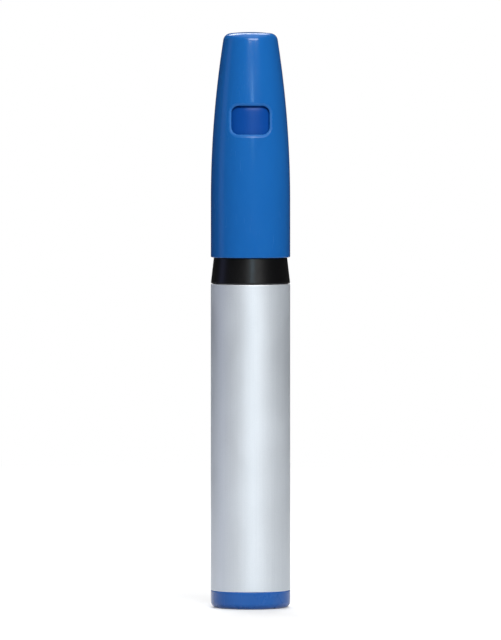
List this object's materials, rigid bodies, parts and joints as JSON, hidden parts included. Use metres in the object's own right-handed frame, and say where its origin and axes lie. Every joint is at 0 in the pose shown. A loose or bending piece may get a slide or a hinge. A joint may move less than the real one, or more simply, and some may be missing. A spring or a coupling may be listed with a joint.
{
  "type": "twist crayon",
  "caption": "Twist-up gel crayon: a satin barrel, a dark collar that turns to wind the domed crayon out, and a pull-off bullet-shaped cap with two small windows.",
  "frame": {"origin": "middle of the rear face of the end plug, on which the crayon stands", "axes": "+Z along the crayon towards its tip, -Y towards the viewer, one cap window on each side along Y"},
  "size_m": [0.016, 0.016, 0.116],
  "materials": {
    "barrel_silver": "satin silver-grey",
    "plug_blue": "moulded gloss",
    "screw_white": "moulded, natural white",
    "ring_rubber": "plain rubber",
    "collar_black": "satin black",
    "guide_grey": "moulded",
    "carrier_white": "moulded, natural white",
    "gel_blue": "waxy gel",
    "cap_blue": "moulded gloss",
    "liner_blue": "moulded gloss"
  },
  "bodies": {
    "barrel": {"barrel": "barrel_silver", "end_plug": "plug_blue", "drive_screw": "screw_white", "drag_ring": "ring_rubber"},
    "collar": {"nose_collar": "collar_black", "guide_tube": "guide_grey"},
    "crayon": {"carrier_nut": "carrier_white", "gel_crayon": "gel_blue"},
    "cap": {"cap_shell": "cap_blue", "cap_liner": "liner_blue"}
  },
  "joints": [
    {"name": "collar_twist", "type": "hinge", "parent": "barrel", "child": "collar", "pos_m": [0, 0, 0], "axis": [0, 0, 1], "range_deg": [-270, 270]},
    {"name": "crayon_rise", "type": "slide", "parent": "collar", "child": "crayon", "axis": [0, 0, 1], "range_m": [-0.009, 0.009]},
    {"name": "cap_pull", "type": "slide", "parent": "collar", "child": "cap", "axis": [0, 0, 1], "range_m": [0, 0.045]}
  ],
  "couplings": [
    {"joint": "crayon_rise", "follows": "collar_twist", "m_per_rad": 0.0019099}
  ]
}
